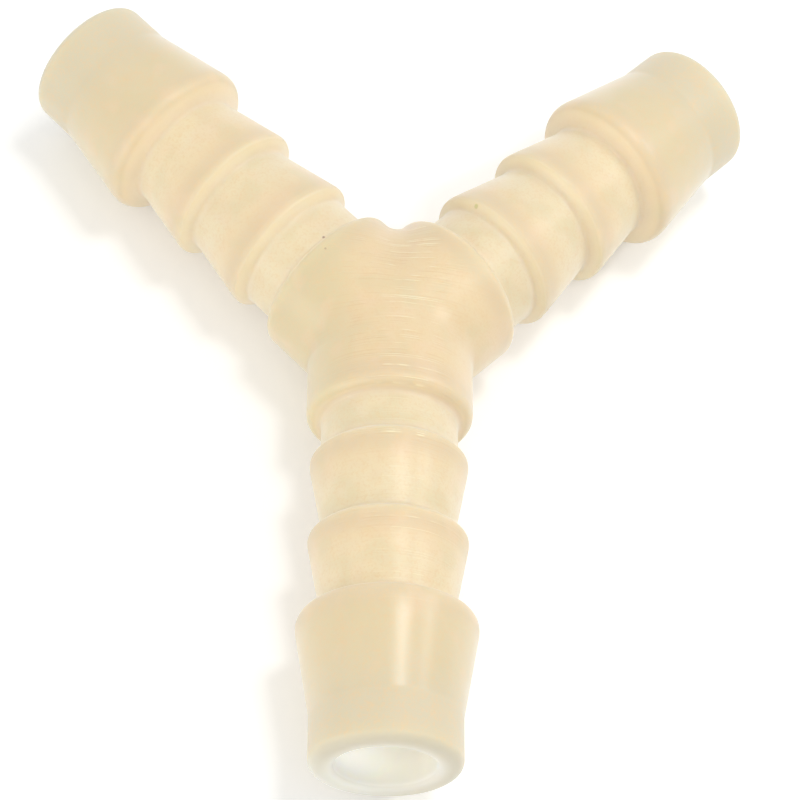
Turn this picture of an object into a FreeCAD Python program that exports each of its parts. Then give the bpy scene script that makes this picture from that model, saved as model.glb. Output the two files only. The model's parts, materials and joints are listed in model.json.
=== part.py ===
import FreeCAD, Part
import os
import Sketcher
from FreeCAD import Placement, Rotation, Vector

# Y connector for soft tubing, moulded in one piece.
# Three hollow legs with the same barbed outline meet at one point: a stem that points along -Y and
# two arms that fork off on either side of +Y. The part lies flat on the crests of its three end
# barbs, and the origin is the bottom centre of the whole part.

# Driving dimensions, in millimetres and degrees.
SIZES = [
    ("fork_angle", 45.0, "angle between each arm and the straight line on from the stem"),
    ("bore_diameter", 7.6, "waterway, the same in all three legs"),
    ("mouth_chamfer", 0.3, "chamfer of the waterway at each mouth"),
    ("collar_diameter", 13.3, "plain collar of each leg, where the legs run together"),
    ("collar_past_crotch", 1.35, "crotch between the collars of the arms to the end of a collar"),
    ("collar_bevel", 0.8, "bevel of the outer edge of a collar, as deep as it is long"),
    ("neck_diameter", 10.9, "straight neck between a collar and the first barb"),
    ("neck_length", 3.3, "end of a collar to the foot of the first barb"),
    ("barb_diameter", 12.5, "crest of each of the two small barbs"),
    ("barb_rise", 0.5, "length of the steep face of a small barb, up to its bevel"),
    ("barb_bevel_depth", 0.25, "depth of the bevel between the steep face and the crest"),
    ("barb_bevel_length", 0.4, "length of that bevel along the leg"),
    ("barb_land", 0.1, "length of the crest of a small barb"),
    ("barb_slope", 5.8, "length of the long slope of a small barb"),
    ("root_diameter", 10.3, "foot of the long slope of a small barb"),
    ("end_barb_diameter", 14.0, "crest of the large end barb"),
    ("end_barb_rise", 0.7, "length of the shoulder of the end barb"),
    ("end_barb_land", 1.0, "length of the crest of the end barb"),
    ("end_barb_slope", 6.8, "length of the cone from the end barb to the spout"),
    ("end_barb_rounding", 1.0, "radius between the shoulder and the crest of the end barb"),
    ("spout_diameter", 11.6, "straight spout at the tip, where the tubing starts"),
    ("spout_length", 4.1, "length of the straight spout"),
    ("spout_bevel", 0.4, "bevel of the outer edge of the spout, as deep as it is long"),
]

# How far out along its own axis the collar of each arm still runs into that of the other arm.
CROTCH = "Sheet.collar_diameter / 2 / tan(Sheet.fork_angle)"

# Outline of a leg from the meeting point of the axes to its tip, and the waterway in it. Each corner
# has the radius there, the run along the axis from the corner before, and the radius that rounds it.
SMALL_BARB = [
    ("Sheet.barb_diameter / 2 - Sheet.barb_bevel_depth", "Sheet.barb_rise", None),
    ("Sheet.barb_diameter / 2", "Sheet.barb_bevel_length", None),
    ("Sheet.barb_diameter / 2", "Sheet.barb_land", None),
    ("Sheet.root_diameter / 2", "Sheet.barb_slope", None),
]
LEG_SECTION = [
    ("Sheet.collar_diameter / 2", None, None),
    ("Sheet.collar_diameter / 2", CROTCH + " + Sheet.collar_past_crotch - Sheet.collar_bevel", None),
    ("Sheet.collar_diameter / 2 - Sheet.collar_bevel", "Sheet.collar_bevel", None),
    ("Sheet.neck_diameter / 2", None, None),
    ("Sheet.neck_diameter / 2", "Sheet.neck_length", None),
    *SMALL_BARB,
    *SMALL_BARB,
    ("Sheet.end_barb_diameter / 2", "Sheet.end_barb_rise", "Sheet.end_barb_rounding"),
    ("Sheet.end_barb_diameter / 2", "Sheet.end_barb_land", None),
    ("Sheet.spout_diameter / 2", "Sheet.end_barb_slope", None),
    ("Sheet.spout_diameter / 2", "Sheet.spout_length - Sheet.spout_bevel", None),
    ("Sheet.spout_diameter / 2 - Sheet.spout_bevel", "Sheet.spout_bevel", None),
]
LEG_LENGTH = " + ".join(run for radius, run, rounding in LEG_SECTION if run)
BORE_SECTION = [
    ("Sheet.bore_diameter / 2", None, None),
    ("Sheet.bore_diameter / 2", LEG_LENGTH + " - Sheet.mouth_chamfer", None),
    ("Sheet.bore_diameter / 2 + Sheet.mouth_chamfer", "Sheet.mouth_chamfer", None),
]

# Directions of the legs, as turns from +Y about Z. The right arm is the mirror image of the left one.
STEM_ANGLE = "180"
ARM_ANGLE = "Sheet.fork_angle"

# How far an arm reaches along +Y from the meeting point: to the outer one of the two edges of the
# bevel at its tip, whichever that is at this fork.
ARM_REACH = (
    "max((" + LEG_LENGTH + " - Sheet.spout_bevel) * cos(Sheet.fork_angle)"
    " + Sheet.spout_diameter / 2 * sin(Sheet.fork_angle);"
    " (" + LEG_LENGTH + ") * cos(Sheet.fork_angle)"
    " + (Sheet.spout_diameter / 2 - Sheet.spout_bevel) * sin(Sheet.fork_angle))"
)

doc = FreeCAD.newDocument("tubing_y_connector")
sheet = doc.addObject("Spreadsheet::Sheet", "Sheet")
for row, (alias, value, meaning) in enumerate(SIZES, start=1):
    sheet.set("A%d" % row, alias)
    sheet.set("B%d" % row, str(value))
    sheet.setAlias("B%d" % row, alias)
    sheet.set("C%d" % row, meaning)
doc.recompute()


def evaluate(expression):
    return float(sheet.evalExpression(expression))


def origin_plane(body, role):
    return next(plane for plane in body.Origin.OriginFeatures if plane.Role == role)


def new_sketch(body, name, angle):
    """A sketch in the plane of the three axes, with its own Y axis turned to a leg's direction."""
    sketch = body.newObject("Sketcher::SketchObject", name)
    sketch.AttachmentSupport = (origin_plane(body, "XY_Plane"), [""])
    sketch.MapMode = "FlatFace"
    sketch.AttachmentOffset = Placement(Vector(), Rotation(Vector(0, 0, 1), evaluate(angle)))
    sketch.setExpression("AttachmentOffset.Rotation.Angle", angle)
    return sketch


def add_size(sketch, name, kind, where, expression):
    """Adds a named dimension that follows an expression."""
    index = sketch.addConstraint(Sketcher.Constraint(kind, *where, evaluate(expression)))
    sketch.renameConstraint(index, name)
    sketch.setExpression("Constraints." + name, expression)


def draw_half_section(sketch, section):
    """Draws a section's corners and closes them along the sketch's own Y axis, the leg's axis."""
    points = [Vector(0, 0, 0)]
    along = 0.0
    for radius, run, rounding in section:
        along += evaluate(run) if run else 0.0
        points.append(Vector(evaluate(radius), along, 0))
    points.append(Vector(0, along, 0))
    ends = points[1:] + points[:1]
    lines = [sketch.addGeometry(Part.LineSegment(*pair), False) for pair in zip(points, ends)]
    for line, following in zip(lines, lines[1:] + lines[:1]):
        sketch.addConstraint(Sketcher.Constraint("Coincident", line, 2, following, 1))
    sketch.addConstraint(Sketcher.Constraint("Coincident", lines[0], 1, -1, 1))
    sketch.addConstraint(Sketcher.Constraint("Horizontal", lines[-2]))
    sketch.addConstraint(Sketcher.Constraint("Vertical", lines[-1]))

    radius_before = None
    for number, (radius, run, rounding) in enumerate(section):
        line = lines[number]
        if radius == radius_before:
            sketch.addConstraint(Sketcher.Constraint("Vertical", line))
        else:
            add_size(sketch, "radius_%d" % number, "DistanceX", (-1, 1, line, 2), radius)
        if run:
            add_size(sketch, "run_%d" % number, "DistanceY", (line, 1, line, 2), run)
        else:
            sketch.addConstraint(Sketcher.Constraint("Horizontal", line))
        radius_before = radius

    for number, (radius, run, rounding) in enumerate(section):
        if rounding:
            arc = sketch.GeometryCount
            sketch.fillet(lines[number], 2, evaluate(rounding), True, True)
            add_size(sketch, "rounding_%d" % number, "Radius", (arc,), rounding)


def revolve(body, kind, name, section, angle):
    """Revolves a section about a leg's axis, as solid (Revolution) or as a cut (Groove)."""
    sketch = new_sketch(body, name + "Section", angle)
    draw_half_section(sketch, section)
    feature = body.newObject("PartDesign::" + kind, name)
    feature.Profile = sketch
    feature.ReferenceAxis = (sketch, ["V_Axis"])
    feature.Angle = 360.0
    doc.recompute()
    return feature


def mirror(body, name, feature):
    """Repeats a feature of the left arm on the right one."""
    copy = body.newObject("PartDesign::Mirrored", name)
    copy.Originals = [feature]
    copy.MirrorPlane = (origin_plane(body, "YZ_Plane"), [""])
    body.Tip = copy
    doc.recompute()
    return copy


def make_connector():
    body = doc.addObject("PartDesign::Body", "Connector")
    body.Label = "y_connector"
    revolve(body, "Revolution", "Stem", LEG_SECTION, STEM_ANGLE)
    left_arm = revolve(body, "Revolution", "LeftArm", LEG_SECTION, ARM_ANGLE)
    mirror(body, "RightArm", left_arm)
    volumes = [body.Shape.Volume]
    revolve(body, "Groove", "StemBore", BORE_SECTION, STEM_ANGLE)
    volumes.append(body.Shape.Volume)
    left_bore = revolve(body, "Groove", "LeftBore", BORE_SECTION, ARM_ANGLE)
    volumes.append(body.Shape.Volume)
    mirror(body, "RightBore", left_bore)
    volumes.append(body.Shape.Volume)
    if sorted(volumes, reverse=True) != volumes or len(set(volumes)) < len(volumes):
        raise RuntimeError("a waterway cuts nothing: %s" % volumes)
    body.setExpression("Placement.Base.y", "(" + LEG_LENGTH + " - (" + ARM_REACH + ")) / 2")
    body.setExpression("Placement.Base.z", "Sheet.end_barb_diameter / 2")
    return body


bodies = [make_connector()]
doc.recompute()

for obj in doc.Objects:
    if "Invalid" in obj.State or "Error" in obj.State:
        raise RuntimeError("%s failed: %s" % (obj.Name, obj.State))
for body in bodies:
    if body.Shape.isNull() or not body.Shape.isValid():
        raise RuntimeError("%s has no valid shape" % body.Label)

os.makedirs("parts", exist_ok=True)
for body in bodies:
    body.Shape.exportStep("parts/%s.step" % body.Label)
    print(body.Label, len(body.Shape.Solids), "solid", round(body.Shape.Volume, 3), "mm3")
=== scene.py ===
import json
import math

import bpy
from mathutils import Matrix, Vector


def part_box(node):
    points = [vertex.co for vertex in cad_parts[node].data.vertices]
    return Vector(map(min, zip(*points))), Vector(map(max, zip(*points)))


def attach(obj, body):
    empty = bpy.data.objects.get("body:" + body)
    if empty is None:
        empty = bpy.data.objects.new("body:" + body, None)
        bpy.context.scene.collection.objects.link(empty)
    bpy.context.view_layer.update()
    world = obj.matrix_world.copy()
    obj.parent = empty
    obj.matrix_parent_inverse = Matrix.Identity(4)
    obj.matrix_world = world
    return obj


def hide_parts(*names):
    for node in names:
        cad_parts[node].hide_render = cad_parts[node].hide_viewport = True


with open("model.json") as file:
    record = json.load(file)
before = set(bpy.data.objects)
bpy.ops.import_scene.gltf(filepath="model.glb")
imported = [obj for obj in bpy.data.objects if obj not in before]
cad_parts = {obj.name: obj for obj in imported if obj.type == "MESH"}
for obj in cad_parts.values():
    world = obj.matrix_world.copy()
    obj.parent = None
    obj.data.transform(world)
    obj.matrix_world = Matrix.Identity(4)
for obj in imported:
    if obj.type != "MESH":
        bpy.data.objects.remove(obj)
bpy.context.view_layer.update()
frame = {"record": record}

# The moulding is the whole connector, injected in one shot in natural polyamide. Three hollow legs
# with the same barbed outline run together at one point: a stem towards -Y, and two arms that fork
# off on either side of +Y. The tool that cut the mould left fine rings in its surface.

mm = 0.001

# Places and sizes that the solid part gives: its box, and the bores and spouts of its legs.
mounts = {mount["name"]: mount for mount in frame["record"]["mounts"]}
box_low, box_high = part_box("y_connector")
stem_bore = mounts["stem_bore"]
arm_axis = mounts["left_arm_bore"]["axis"]
fork_angle = math.atan2(-arm_axis[0], arm_axis[1])
end_barb_radius = (box_high.z - box_low.z) / 2
bore_radius = stem_bore["dims"]["r_mm"] * mm
spout_radius = mounts["stem_spout"]["dims"]["r_mm"] * mm
bore_middle = stem_bore["dims"]["length_mm"] / 2 * mm
meeting_point = Vector(stem_bore["pos_m"]) - Vector(stem_bore["axis"]) * bore_middle
leg_length = meeting_point.y - box_low.y

# Outline of a leg, with the run of each stretch along the leg and the radii that round its corners.
collar_radius = 6.65 * mm
collar_length = 8.0 * mm
neck_radius = 5.45 * mm
neck_length = 3.3 * mm
barb_radius = 6.25 * mm
barb_rise = 0.6 * mm
barb_land = 0.4 * mm
barb_slope = 5.8 * mm
root_radius = 5.15 * mm
end_barb_rise = 0.7 * mm
end_barb_land = 1.0 * mm
end_barb_slope = 6.8 * mm
small_barb_length = barb_rise + barb_land + barb_slope
end_barb_start = collar_length + neck_length + 2 * small_barb_length
collar_rounding = 0.85 * mm
collar_foot_rounding = 0.6 * mm
foot_rounding = 0.4 * mm
crest_rounding = 0.45 * mm
end_barb_rounding = 1.0 * mm
slope_rounding = 2.5 * mm
spout_rounding = 0.69 * mm
mouth_rounding = 0.45 * mm
crotch_rounding = 0.5 * mm
top_blending = 3.5 * mm

segments_around = 144
rings_per_rounding = 6
rings_at_crotch = 8
weld_distance = 0.002 * mm


class Output:
    """An output of a node. An expression on outputs and numbers adds its Math nodes."""

    def __init__(self, graph, node, name=None):
        self.graph = graph
        self.node = node
        self.socket = next(s for s in node.outputs if s.enabled and name in (None, s.name))

    def __getitem__(self, name):
        return Output(self.graph, self.node, name)

    def __add__(self, other):
        return self.graph.math("ADD", self, other)

    def __radd__(self, other):
        return self.graph.math("ADD", other, self)

    def __sub__(self, other):
        return self.graph.math("SUBTRACT", self, other)

    def __rsub__(self, other):
        return self.graph.math("SUBTRACT", other, self)

    def __mul__(self, other):
        return self.graph.math("MULTIPLY", self, other)

    def __rmul__(self, other):
        return self.graph.math("MULTIPLY", other, self)

    def __truediv__(self, other):
        return self.graph.math("DIVIDE", self, other)


class Graph:
    """A node tree that is written as calls and expressions."""

    def __init__(self, tree):
        self.tree = tree
        tree.nodes.clear()

    def node(self, kind, settings=None, sockets=None):
        """Adds a node, makes its settings, then fills or links its sockets by name or number."""
        made = self.tree.nodes.new(kind)
        for name, value in (settings or {}).items():
            if name == "items":
                while len(made.index_switch_items) < value:
                    made.index_switch_items.new()
            else:
                setattr(made, name, value)
        for key, value in (sockets or {}).items():
            shown = [s for s in made.inputs if s.enabled]
            socket = shown[key] if isinstance(key, int) else next(s for s in shown if s.name == key)
            if isinstance(value, Output):
                self.tree.links.new(value.socket, socket)
            else:
                socket.default_value = value
        return Output(self, made) if made.outputs else made

    def math(self, operation, *values):
        return self.node("ShaderNodeMath", {"operation": operation}, dict(enumerate(values)))

    def vector(self, operation, *values):
        return self.node("ShaderNodeVectorMath", {"operation": operation}, dict(enumerate(values)))

    def choose(self, kind, values):
        """The value whose number is a point's index on the outline."""
        index = self.node("GeometryNodeInputIndex")
        settings = {"data_type": kind, "items": len(values)}
        return self.node("GeometryNodeIndexSwitch", settings, dict(enumerate([index, *values])))


def new_geometry_tree(name, inputs):
    """A Geometry Nodes tree with named inputs, given as (name, socket kind, default)."""
    tree = bpy.data.node_groups.new(name, "GeometryNodeTree")
    for label, kind, default in inputs:
        socket = tree.interface.new_socket(label, in_out="INPUT", socket_type="NodeSocket" + kind)
        if default is not None:
            socket.default_value = default
    tree.interface.new_socket("Geometry", in_out="OUTPUT", socket_type="NodeSocketGeometry")
    return tree


def make_leg_tree():
    """Turns the outline of a leg about the leg's axis, and cuts its foot to fit the two neighbours.

    A leg first points along +Y. Its neighbour on each side leaves at twice the half turn from the
    straight line on, so that the foot ends in a plane at that half turn. A rounding fills the
    crotch there, tight at the sides and wider towards the top and the underside.
    """
    tree = new_geometry_tree("Barbed leg", [
        ("Outline", "Geometry", None),
        ("Direction", "Float", 0.0),
        ("Right Half Turn", "Float", fork_angle / 2),
        ("Left Half Turn", "Float", fork_angle / 2),
        ("Crotch Rounding", "Float", crotch_rounding),
        ("Top Blending", "Float", top_blending),
        ("Crotch Rings", "Int", rings_at_crotch),
        ("Segments", "Int", segments_around),
    ])
    graph = Graph(tree)

    def store(geometry, kind, domain, name, value):
        settings = {"data_type": kind, "domain": domain}
        sockets = {"Geometry": geometry, "Name": name, "Value": value}
        return graph.node("GeometryNodeStoreNamedAttribute", settings, sockets)

    given = graph.node("NodeGroupInput")
    size = graph.node("GeometryNodeAttributeDomainSize", {"component": "CURVE"}, {
        "Geometry": given["Outline"],
    })
    rings = size["Point Count"] + given["Crotch Rings"]
    rows = given["Segments"] + 1
    grid = graph.node("GeometryNodeMeshGrid", {}, {"Vertices X": rings, "Vertices Y": rows})

    index = graph.node("GeometryNodeInputIndex")
    ring = graph.math("FLOOR", (index + 0.5) / rows)
    around = (index - ring * rows) / given["Segments"]
    on_points = {"data_type": "FLOAT_VECTOR", "domain": "POINT"}
    corner = graph.node("GeometryNodeSampleIndex", on_points, {
        "Geometry": given["Outline"],
        "Value": graph.node("GeometryNodeInputPosition"),
        "Index": graph.math("MAXIMUM", ring - given["Crotch Rings"], 0),
    })
    corner = graph.node("ShaderNodeSeparateXYZ", {}, {0: corner})
    radius = corner["X"]

    angle = around * math.tau
    across = graph.math("COSINE", angle)
    share = graph.math("ABSOLUTE", across)
    on_right = graph.math("GREATER_THAN", across, 0)
    half_turn = given["Left Half Turn"]
    half_turn = half_turn + (given["Right Half Turn"] - half_turn) * on_right
    height = graph.math("SINE", angle)
    slant = graph.math("TANGENT", half_turn)
    rounding = (given["Crotch Rounding"] + given["Top Blending"] * height * height / slant) * share
    sweep = half_turn * graph.math("MAXIMUM", 1 - ring / given["Crotch Rings"], 0)
    aside = radius * share

    in_crotch = graph.math("LESS_THAN", ring, given["Crotch Rings"] + 0.5)
    in_bore_foot = graph.math("GREATER_THAN", ring, rings - 1.5)
    crotch_along = (aside + rounding) * slant - rounding * graph.math("SINE", sweep)
    along = corner["Y"] + (crotch_along - corner["Y"]) * in_crotch
    along = along + (aside * slant - along) * in_bore_foot
    aside = aside + rounding * (1 - graph.math("COSINE", sweep)) * in_crotch
    side = graph.math("SIGN", across) * aside

    turn_cos = graph.math("COSINE", given["Direction"])
    turn_sin = graph.math("SINE", given["Direction"])
    place = graph.node("ShaderNodeCombineXYZ", {}, {
        "X": side * turn_cos - along * turn_sin,
        "Y": side * turn_sin + along * turn_cos,
        "Z": radius * height,
    })
    leg = grid["Mesh"]
    for name, value in (("around", around), ("along", along), ("from_axis", radius)):
        leg = store(leg, "FLOAT", "POINT", name, value)
    leg = graph.node("GeometryNodeSetPosition", {}, {"Geometry": leg, "Position": place})
    stored = [
        graph.node("GeometryNodeInputNamedAttribute", {"data_type": "FLOAT"}, {"Name": name})
        for name in ("around", "along")
    ]
    flat = graph.node("ShaderNodeCombineXYZ", {}, {"X": stored[0], "Y": stored[1] / leg_length})
    leg = store(leg, "FLOAT2", "CORNER", "UVMap", flat)
    graph.node("NodeGroupOutput", {}, {"Geometry": leg})
    return tree


def make_connector_tree():
    """Draws the outline of a leg, rounds its corners, and joins three legs made from it."""
    sizes = [
        ("Fork Angle", fork_angle),
        ("Collar Radius", collar_radius),
        ("Collar Length", collar_length),
        ("Neck Radius", neck_radius),
        ("Neck Length", neck_length),
        ("Barb Radius", barb_radius),
        ("Barb Rise", barb_rise),
        ("Barb Land", barb_land),
        ("Barb Slope", barb_slope),
        ("Root Radius", root_radius),
        ("End Barb Radius", end_barb_radius),
        ("End Barb Rise", end_barb_rise),
        ("End Barb Land", end_barb_land),
        ("End Barb Slope", end_barb_slope),
        ("Spout Radius", spout_radius),
        ("Bore Radius", bore_radius),
        ("Leg Length", leg_length),
        ("Collar Rounding", collar_rounding),
        ("Collar Foot Rounding", collar_foot_rounding),
        ("Foot Rounding", foot_rounding),
        ("Crest Rounding", crest_rounding),
        ("End Barb Rounding", end_barb_rounding),
        ("Slope Rounding", slope_rounding),
        ("Spout Rounding", spout_rounding),
        ("Mouth Rounding", mouth_rounding),
        ("Crotch Rounding", crotch_rounding),
        ("Top Blending", top_blending),
    ]
    tree = new_geometry_tree("Y connector", [
        *((name, "Float", value) for name, value in sizes),
        ("Meeting Point", "Vector", meeting_point),
        ("Rings per Rounding", "Int", rings_per_rounding),
        ("Crotch Rings", "Int", rings_at_crotch),
        ("Segments", "Int", segments_around),
        ("Material", "Material", None),
    ])
    graph = Graph(tree)
    given = graph.node("NodeGroupInput")
    small_barb = [
        ("Barb Radius", "Barb Rise", "Crest Rounding"),
        ("Barb Radius", "Barb Land", "Slope Rounding"),
        ("Root Radius", "Barb Slope", "Foot Rounding"),
    ]
    outline = [
        ("Collar Radius", None, None),
        ("Collar Radius", "Collar Length", "Collar Rounding"),
        ("Neck Radius", None, "Collar Foot Rounding"),
        ("Neck Radius", "Neck Length", "Foot Rounding"),
        *small_barb,
        *small_barb,
        ("End Barb Radius", "End Barb Rise", "End Barb Rounding"),
        ("End Barb Radius", "End Barb Land", "Slope Rounding"),
        ("Spout Radius", "End Barb Slope", "Slope Rounding"),
    ]
    places, roundings = [], []

    def add_corner(radius, along, rounding):
        places.append(graph.node("ShaderNodeCombineXYZ", {}, {"X": given[radius], "Y": along}))
        roundings.append(given[rounding] if rounding else 0.0)

    along = 0.0
    for radius, run, rounding in outline:
        if run:
            along = along + given[run]
        add_corner(radius, along, rounding)
    add_corner("Spout Radius", given["Leg Length"], "Spout Rounding")
    add_corner("Bore Radius", given["Leg Length"], "Mouth Rounding")
    add_corner("Bore Radius", 0.0, None)

    points = graph.node("GeometryNodeResampleCurve", {"mode": "COUNT"}, {
        "Curve": graph.node("GeometryNodeCurvePrimitiveLine"),
        "Count": len(places),
    })
    drawn = graph.node("GeometryNodeSetPosition", {}, {
        "Geometry": points,
        "Position": graph.choose("VECTOR", places),
    })
    rounded = graph.node("GeometryNodeFilletCurve", {"mode": "POLY"}, {
        "Curve": drawn,
        "Count": given["Rings per Rounding"],
        "Radius": graph.choose("FLOAT", roundings),
        "Limit Radius": True,
    })

    leg_tree = make_leg_tree()
    to_stem = given["Fork Angle"] / 2
    to_arm = math.pi / 2 - given["Fork Angle"]
    legs = [
        (math.pi, to_stem, to_stem),
        (given["Fork Angle"], to_arm, to_stem),
        (0 - given["Fork Angle"], to_stem, to_arm),
    ]
    joined = graph.node("GeometryNodeJoinGeometry")
    for direction, right, left in legs:
        leg = graph.node("GeometryNodeGroup", {"node_tree": leg_tree}, {
            "Outline": rounded,
            "Direction": direction,
            "Right Half Turn": right,
            "Left Half Turn": left,
            "Crotch Rounding": given["Crotch Rounding"],
            "Top Blending": given["Top Blending"],
            "Crotch Rings": given["Crotch Rings"],
            "Segments": given["Segments"],
        })
        tree.links.new(leg.socket, joined.node.inputs["Geometry"])
    finished = joined
    for kind, name, value in (
        ("GeometryNodeMergeByDistance", "Distance", weld_distance),
        ("GeometryNodeSetPosition", "Offset", given["Meeting Point"]),
        ("GeometryNodeSetShadeSmooth", "Shade Smooth", True),
    ):
        finished = graph.node(kind, {}, {"Geometry": finished, name: value})
    finished = graph.node("GeometryNodeRealizeInstances", {}, {"Geometry": finished})
    finished = graph.node("GeometryNodeSetMaterial", {}, {
        "Geometry": finished,
        "Material": given["Material"],
    })
    graph.node("NodeGroupOutput", {}, {"Geometry": finished})
    return tree


# Colours of the polyamide: pale where the wall is thin and light passes it, deeper where it is
# thick, greyer on the end barbs, with painted shade on the spouts, the crests, the hub's left side
# and the mouths' flat faces, painted light in the corners, and a painted pale glow in the bores.
pale_cream = (0.87, 0.74, 0.51, 1.0)
deep_cream = (0.84, 0.68, 0.43, 1.0)
grey_cream = (0.77, 0.66, 0.43, 1.0)
spout_shade_cream = (0.72, 0.65, 0.47, 1.0)
crest_shade_tan = (0.74, 0.61, 0.42, 1.0)
corner_light_cream = (0.92, 0.80, 0.60, 1.0)
green_cream = (0.73, 0.64, 0.40, 1.0)
rose_cream = (0.88, 0.68, 0.47, 1.0)
amber = (0.82, 0.63, 0.37, 1.0)
glint_cream = (0.97, 0.87, 0.64, 1.0)
line_tan = (0.74, 0.54, 0.29, 1.0)
shaded_cut_face = (0.64, 0.59, 0.46, 1.0)
cut_face_low = (0.78, 0.77, 0.68, 1.0)
milky_bore_light = (0.98, 0.96, 0.88, 1.0)
shaded_milk = (0.70, 0.67, 0.60, 1.0)
painted_bore_glow = (0.25, 0.25, 0.245, 1.0)
no_glow = (0.0, 0.0, 0.0, 1.0)

# Scales of the noise patterns, in features per metre.
cloud_scale = 130
green_scale = 340
rose_scale = 410
mottle_scale = 900
grain_scale = 4600
wander_scale = 220
fine_ring_scale = 6500
coarse_ring_scale = 2400
dash_scale = 680
tan_patch_scale = 470
dimple_scale = 1600
ring_wander = 0.25 * mm
bump_depth = 0.025 * mm

# The greatest share of each tint.
thick_wall_share = 0.8
cloud_share = 0.6
hub_amber_share = 0.2
crest_shade_share = 0.75
green_patch_share = 0.35
hub_left_shade_share = 0.7
rose_share = 0.3
mottle_share = 0.25
grain_share = 0.38
corner_light_share = 0.6
line_tan_share = 0.35
line_share_in_shade = 0.08
glint_share_in_highlight = 0.75
shaded_milk_share = 0.5
arm_glow_share = 0.25

# Specks of dirt on the left arm and a green one on the right arm: place and radius in mm, colour
# and share.
speck_wander = 0.12 * mm
red_brown = (0.30, 0.11, 0.05, 1.0)
olive = (0.50, 0.52, 0.14, 1.0)
specks = [
    ((-6.08, 9.36, 12.44), 0.16, red_brown, 0.65),
    ((-6.23, 8.32, 13.00), 0.15, red_brown, 0.35),
    ((-6.39, 7.75, 13.18), 0.14, red_brown, 0.45),
    ((-5.97, 7.56, 13.50), 0.12, red_brown, 0.35),
    ((6.42, 13.69, 12.26), 0.28, olive, 0.5),
]


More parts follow.
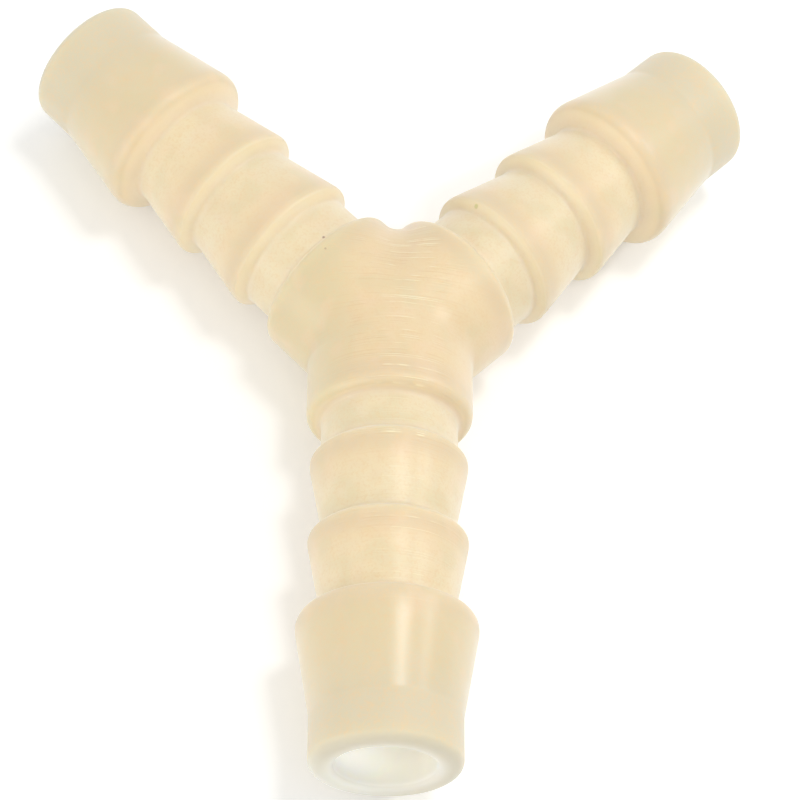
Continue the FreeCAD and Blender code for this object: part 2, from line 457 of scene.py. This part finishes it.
def make_polyamide():
    material = bpy.data.materials.new("natural_polyamide")
    material.use_nodes = True
    material.cycles.emission_sampling = "NONE"
    graph = Graph(material.node_tree)
    place = graph.node("ShaderNodeTexCoord")["Object"]
    along = graph.node("ShaderNodeAttribute", {"attribute_name": "along"})["Fac"]
    from_axis = graph.node("ShaderNodeAttribute", {"attribute_name": "from_axis"})["Fac"]
    parts = graph.node("ShaderNodeSeparateXYZ", {}, {0: place})

    def noise(where, scale, detail, dimensions="3D"):
        settings = {"noise_dimensions": dimensions}
        sockets = {"W" if dimensions == "1D" else "Vector": where, "Scale": scale, "Detail": detail}
        return graph.node("ShaderNodeTexNoise", settings, sockets)["Fac"]

    def ramp(value, low, high):
        """Rises smoothly from 0 at low to 1 at high, or falls where low is the higher one."""
        settings = {"interpolation_type": "SMOOTHSTEP"}
        sockets = {"Value": value, "From Min": low, "From Max": high}
        return graph.node("ShaderNodeMapRange", settings, sockets)

    def mix(factor, first, second):
        sockets = {"Factor": factor, "A": first, "B": second}
        return graph.node("ShaderNodeMix", {"data_type": "RGBA"}, sockets)["Result"]

    # Where a point lies: on a crest or in a corner of the outline, on the hub or on the end barb.
    collar_face = ramp(from_axis, collar_radius - 0.35 * mm, collar_radius - 0.8 * mm)
    collar_face = collar_face * ramp(along, collar_length - 0.9 * mm, collar_length - 0.5 * mm)
    in_corner = collar_face * ramp(along, collar_length + 0.9 * mm, collar_length + 0.2 * mm)
    on_crest = 0.0
    for barbs_before_end in range(3):
        start = end_barb_start - barbs_before_end * small_barb_length
        crest = ramp(along, start + 0.35 * mm, start + 0.75 * mm)
        on_crest = on_crest + crest * ramp(along, start + 3.0 * mm, start + 1.2 * mm)
        in_corner = in_corner + ramp(along, start - 0.7 * mm, start) * (1 - crest)
    on_hub = graph.math("LESS_THAN", along, collar_length + 0.2 * mm)
    on_stem = graph.math("LESS_THAN", parts["Y"], meeting_point.y)
    on_cone = ramp(along, end_barb_start, end_barb_start + 1 * mm)
    on_spout = ramp(along, end_barb_start + 4 * mm, end_barb_start + 10.5 * mm)
    middle = ramp(graph.math("ABSOLUTE", parts["X"]), 6.5 * mm, 2 * mm)

    # Depth of colour by the wall, in clouds, down the hub's middle and at the collar's end; painted
    # shade on crests.
    clouds = noise(place, cloud_scale, 2)
    thick_wall = ramp(from_axis, root_radius + 0.3 * mm, barb_radius - 0.1 * mm)
    deep = thick_wall * thick_wall_share + (clouds - 0.5) * cloud_share
    color = mix(deep, pale_cream, deep_cream)
    greyer = ramp(along, end_barb_start + 0.6 * mm, end_barb_start + 1.6 * mm)
    color = mix(greyer, color, grey_cream)
    hub_middle = ramp(along, collar_length, collar_length - 1.5 * mm) * middle
    color = mix(hub_middle * hub_amber_share, color, amber)
    collar_end = ramp(along, collar_length - 3 * mm, collar_length - 1 * mm) * on_hub
    # Painted shade: the crests of the barbs are darkened to tan. The hub turns tan towards the
    # collar's end.
    crest_shade_and_collar_tan = graph.math("MAXIMUM", on_crest, collar_end)
    color = mix(crest_shade_and_collar_tan * crest_shade_share, color, crest_shade_tan)

    # Tints in patches and the grain of the resin, with painted shade on the left side of the hub.
    green_patches = ramp(noise(place, green_scale, 1), 0.50, 0.68) * green_patch_share
    # Painted shade: the hub's left side is tinted darker and greener.
    shaded_hub_left = ramp(parts["X"], -2.5 * mm, -6 * mm) * on_hub
    green = graph.math("MAXIMUM", green_patches, shaded_hub_left * hub_left_shade_share)
    color = mix(green, color, green_cream)
    rose_patches = ramp(noise(place, rose_scale, 1), 0.50, 0.68)
    color = mix(rose_patches * rose_share, color, rose_cream)
    # Painted shade: the spouts are painted a greyer, darker cream.
    color = mix(on_spout, color, spout_shade_cream)
    mottle = ramp(noise(place, mottle_scale, 3), 0.45, 0.75)
    grain = noise(place, grain_scale, 2)
    flecks = mottle * mottle_share + ramp(grain, 0.48, 0.66) * grain_share
    color = mix(flecks, color, amber)
    # Painted light: the corners of the outline are painted paler, lifting their shade as light
    # through the thin wall would.
    color = mix(in_corner * corner_light_share, color, corner_light_cream)

    # The marks of the mould's tool: fine rings about each leg, square to the stem on the hub. Their
    # pale lines are painted glints, strongest near the middle of the part, where the highlight
    # falls.
    wander = (noise(place, wander_scale, 1) - 0.5) * ring_wander
    down_stem = meeting_point.y - parts["Y"]
    ring_place = along + (down_stem - along) * on_hub + wander
    fine = noise(ring_place, fine_ring_scale, 1, "1D")
    coarse = noise(ring_place, coarse_ring_scale, 1, "1D")
    dashes = ramp(noise(place, dash_scale, 1), 0.42, 0.58)
    tan_patches = ramp(noise(place, tan_patch_scale, 1), 0.45, 0.60)
    strong = (0.2 + 0.8 * middle) * (1 - on_cone * 0.9) * (1 - in_corner)
    strong = strong * graph.math("MAXIMUM", on_hub, 0.35 + 0.65 * on_crest)
    ring_glints = ramp(fine, 0.54, 0.64) * dashes * ramp(coarse, 0.42, 0.58) * strong
    tan_lines = ramp(fine, 0.46, 0.36) * tan_patches * strong
    color = mix(tan_lines * line_tan_share, color, line_tan)
    # Painted highlight: the pale lines are strongest in this band, where the overhead lamp's glints
    # fall.
    in_highlight_band = ramp(graph.math("ABSOLUTE", parts["X"] - 0.9 * mm), 3.0 * mm, 1.2 * mm)
    glint_share = line_share_in_shade + (glint_share_in_highlight - line_share_in_shade) * in_highlight_band
    color = mix(ring_glints * glint_share, color, glint_cream)
    dimples = noise(place, dimple_scale, 1)
    bump = graph.node("ShaderNodeBump", {}, {
        "Strength": 1.0,
        "Distance": bump_depth,
        "Height": ring_glints * 0.7 + coarse * strong * 0.7 + dimples * 0.3,
    })

    # The flat face of a mouth is painted a greyer tone as shade, paler towards its lower edge, and
    # the right half of the stem's mouth and bore is painted darker as shade. The bore is painted
    # pale and
    # given a glow: partly the thin wall's own paler tone, partly painted light that passes the
    # wall.
    shaded = ramp(parts["X"], -2.0 * mm, 3.0 * mm) * on_stem
    # Painted shade: the mouth's face is greyer, and darker again on the stem's right half.
    face_low = ramp(parts["Z"], 10 * mm, 3 * mm) * (1 - shaded * 0.8)
    face = mix(face_low, shaded_cut_face, cut_face_low)
    color = mix(ramp(along, leg_length - 0.7 * mm, leg_length - 0.1 * mm), color, face)
    in_bore = ramp(from_axis, bore_radius + 0.15 * mm, bore_radius)
    near_bore = ramp(from_axis, bore_radius + 1.3 * mm, bore_radius)
    near_bore = near_bore * ramp(along, leg_length - 0.6 * mm, leg_length - 0.3 * mm)
    # Painted light: the bore and its mouth's edge are whitened, partly the thin wall's own paler
    # tone, partly light through the wall.
    color = mix(graph.math("MAXIMUM", in_bore, near_bore * 0.45), color, milky_bore_light)
    shaded_bore = graph.math("MAXIMUM", in_bore, near_bore) * shaded
    color = mix(shaded_bore * shaded_milk_share, color, shaded_milk)
    # A painted glow in the bore, which is no lamp, stands in for light that passes the wall.
    past_mouth = ramp(along, leg_length - 0.2 * mm, leg_length - 2.2 * mm)
    lit_bore = in_bore * past_mouth * ramp(along, leg_length - 16 * mm, leg_length - 6 * mm)
    lit_bore = lit_bore * (arm_glow_share + (1 - arm_glow_share) * on_stem) * (1 - shaded * 0.8)
    glow = mix(lit_bore, no_glow, painted_bore_glow)

    for centre, radius, tint, share in specks:
        from_speck = graph.vector("DISTANCE", place, Vector(centre) * mm)
        from_speck = from_speck + (grain - 0.5) * speck_wander
        color = mix(ramp(from_speck, radius * mm, radius * 0.5 * mm) * share, color, tint)

    matt_spout = ramp(along, end_barb_start + 8.2 * mm, end_barb_start + 8.9 * mm)
    roughness = 0.35 + 0.06 * clouds - 0.08 * on_cone + 0.15 * on_crest + 0.25 * matt_spout
    shader = graph.node("ShaderNodeBsdfPrincipled", {}, {
        "Base Color": color,
        "Roughness": roughness,
        "IOR": 1.53,
        "Normal": bump["Normal"],
        "Subsurface Weight": 1.0,
        "Subsurface Radius": (1.0, 0.90, 0.70),
        "Subsurface Scale": 2.0 * mm,
        "Emission Color": glow,
        "Emission Strength": 1.0,
        "Sheen Weight": 0.4,
        "Sheen Roughness": 0.45,
    })
    graph.node("ShaderNodeOutputMaterial", {}, {"Surface": shader})
    return material


def make_connector():
    """Evaluates the tree on an empty mesh and keeps the result as a plain mesh."""
    tree = make_connector_tree()
    carrier = bpy.data.objects.new("carrier", bpy.data.meshes.new("carrier"))
    bpy.context.scene.collection.objects.link(carrier)
    modifier = carrier.modifiers.new("legs", "NODES")
    modifier.node_group = tree
    inputs = [item for item in tree.interface.items_tree if item.in_out == "INPUT"]
    identifiers = {item.name: item.identifier for item in inputs}
    polyamide = make_polyamide()
    modifier[identifiers["Material"]] = polyamide
    evaluated = carrier.evaluated_get(bpy.context.evaluated_depsgraph_get())
    mesh = bpy.data.meshes.new_from_object(evaluated)
    carrier.modifiers.remove(modifier)
    bpy.data.objects.remove(carrier)
    mesh.name = "moulding"
    mesh.materials.clear()
    mesh.materials.append(polyamide)
    mesh.polygons.foreach_set("material_index", [0] * len(mesh.polygons))
    piece = bpy.data.objects.new("moulding", mesh)
    bpy.context.scene.collection.objects.link(piece)
    weighted = piece.modifiers.new("even_shading", "WEIGHTED_NORMAL")
    weighted.weight = 100
    return piece


moulding = make_connector()
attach(moulding, "root")
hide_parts("y_connector")

# The connector lies on a sheet of plain white card, which runs on far past the picture.
card_half_width = 1.5
card_white = (0.93, 0.93, 0.92, 1.0)
card_glow = (1.0, 1.0, 0.99, 1.0)
seen_glow = 0.22
reflected_glow = 0.4


def make_card():
    mesh = bpy.data.meshes.new("card")
    reach = card_half_width
    corners = [(-reach, -reach, 0), (reach, -reach, 0), (reach, reach, 0), (-reach, reach, 0)]
    mesh.from_pydata(corners, [], [(0, 1, 2, 3)])
    material = bpy.data.materials.new("white_card")
    material.use_nodes = True
    graph = Graph(material.node_tree)
    shader = graph.node("ShaderNodeBsdfPrincipled", {}, {
        "Base Color": card_white,
        "Roughness": 0.9,
        "Specular IOR Level": 0.1,
    })
    path = graph.node("ShaderNodeLightPath")
    strength = path["Is Camera Ray"] * seen_glow + path["Is Glossy Ray"] * reflected_glow
    glow = graph.node("ShaderNodeEmission", {}, {"Color": card_glow, "Strength": strength})
    both = graph.node("ShaderNodeAddShader", {}, {0: shader, 1: glow})
    graph.node("ShaderNodeOutputMaterial", {}, {"Surface": both})
    mesh.materials.append(material)
    card = bpy.data.objects.new("card", mesh)
    bpy.context.scene.collection.objects.link(card)
    return card


card = make_card()

# Light is that of a bright room: white all round, with a lamp nearly overhead and another on the
# right that draw the highlights, and two wide ones, in front and low on the left. Each is a square
# panel, with its direction, its width and what it alone gives a white sheet which faces it.
room_strength = 0.62
panel_distance = 0.4
panels = [
    ("overhead", (0.23, 0.12, 0.97), 0.08, 0.24),
    ("right", (0.70, 0.22, 0.67), 0.04, 0.17),
    ("front", (-0.20, -0.66, 0.72), 0.36, 0.08),
    ("low_left", (-0.78, -0.62, 0.04), 0.30, 0.43),
]


def make_panel(name, direction, size, brightness):
    lamp = bpy.data.lights.new(name, "AREA")
    lamp.shape = "SQUARE"
    lamp.size = size
    lamp.energy = brightness * (math.pi * panel_distance) ** 2
    panel = bpy.data.objects.new(name, lamp)
    towards = Vector(direction).normalized()
    panel.location = meeting_point + towards * panel_distance
    panel.rotation_euler = towards.to_track_quat("Z", "Y").to_euler()
    bpy.context.scene.collection.objects.link(panel)


for panel in panels:
    make_panel(*panel)


def make_world():
    """White where it is seen, directly or in a reflection, and dimmer as a light."""
    world = bpy.data.worlds.new("room")
    world.use_nodes = True
    bpy.context.scene.world = world
    graph = Graph(world.node_tree)
    path = graph.node("ShaderNodeLightPath")
    seen = graph.math("MAXIMUM", path["Is Camera Ray"], path["Is Transmission Ray"])
    seen = graph.math("MAXIMUM", seen, path["Is Glossy Ray"])
    strength = room_strength + (1.0 - room_strength) * seen
    background = graph.node("ShaderNodeBackground", {}, {
        "Color": (1.0, 1.0, 1.0, 1.0),
        "Strength": strength,
    })
    graph.node("ShaderNodeOutputWorld", {}, {"Surface": background})


make_world()

# The camera looks down over the stem's mouth, turned a little to one side, and is held askew.
view_azimuth = math.radians(-10.1)
view_elevation = math.radians(58.05)
view_roll = math.radians(12.36)
view_distance = 194.2 * mm
view_aim = meeting_point + Vector((0.82, -5.72, 0.0)) * mm
lens_mm = 109.0


def make_camera():
    back = Vector((
        math.sin(view_azimuth) * math.cos(view_elevation),
        -math.cos(view_azimuth) * math.cos(view_elevation),
        math.sin(view_elevation),
    ))
    level = Vector((0, 0, 1)).cross(back).normalized()
    across = level * math.cos(view_roll) + back.cross(level) * math.sin(view_roll)
    turned = Matrix((across, back.cross(across), back)).transposed()
    lens = bpy.data.cameras.new("camera")
    lens.lens = lens_mm
    lens.clip_start = 10 * mm
    camera = bpy.data.objects.new("camera", lens)
    camera.matrix_world = Matrix.Translation(view_aim + back * view_distance) @ turned.to_4x4()
    bpy.context.scene.collection.objects.link(camera)
    bpy.context.scene.camera = camera


make_camera()
bpy.context.scene.view_settings.view_transform = "Standard"
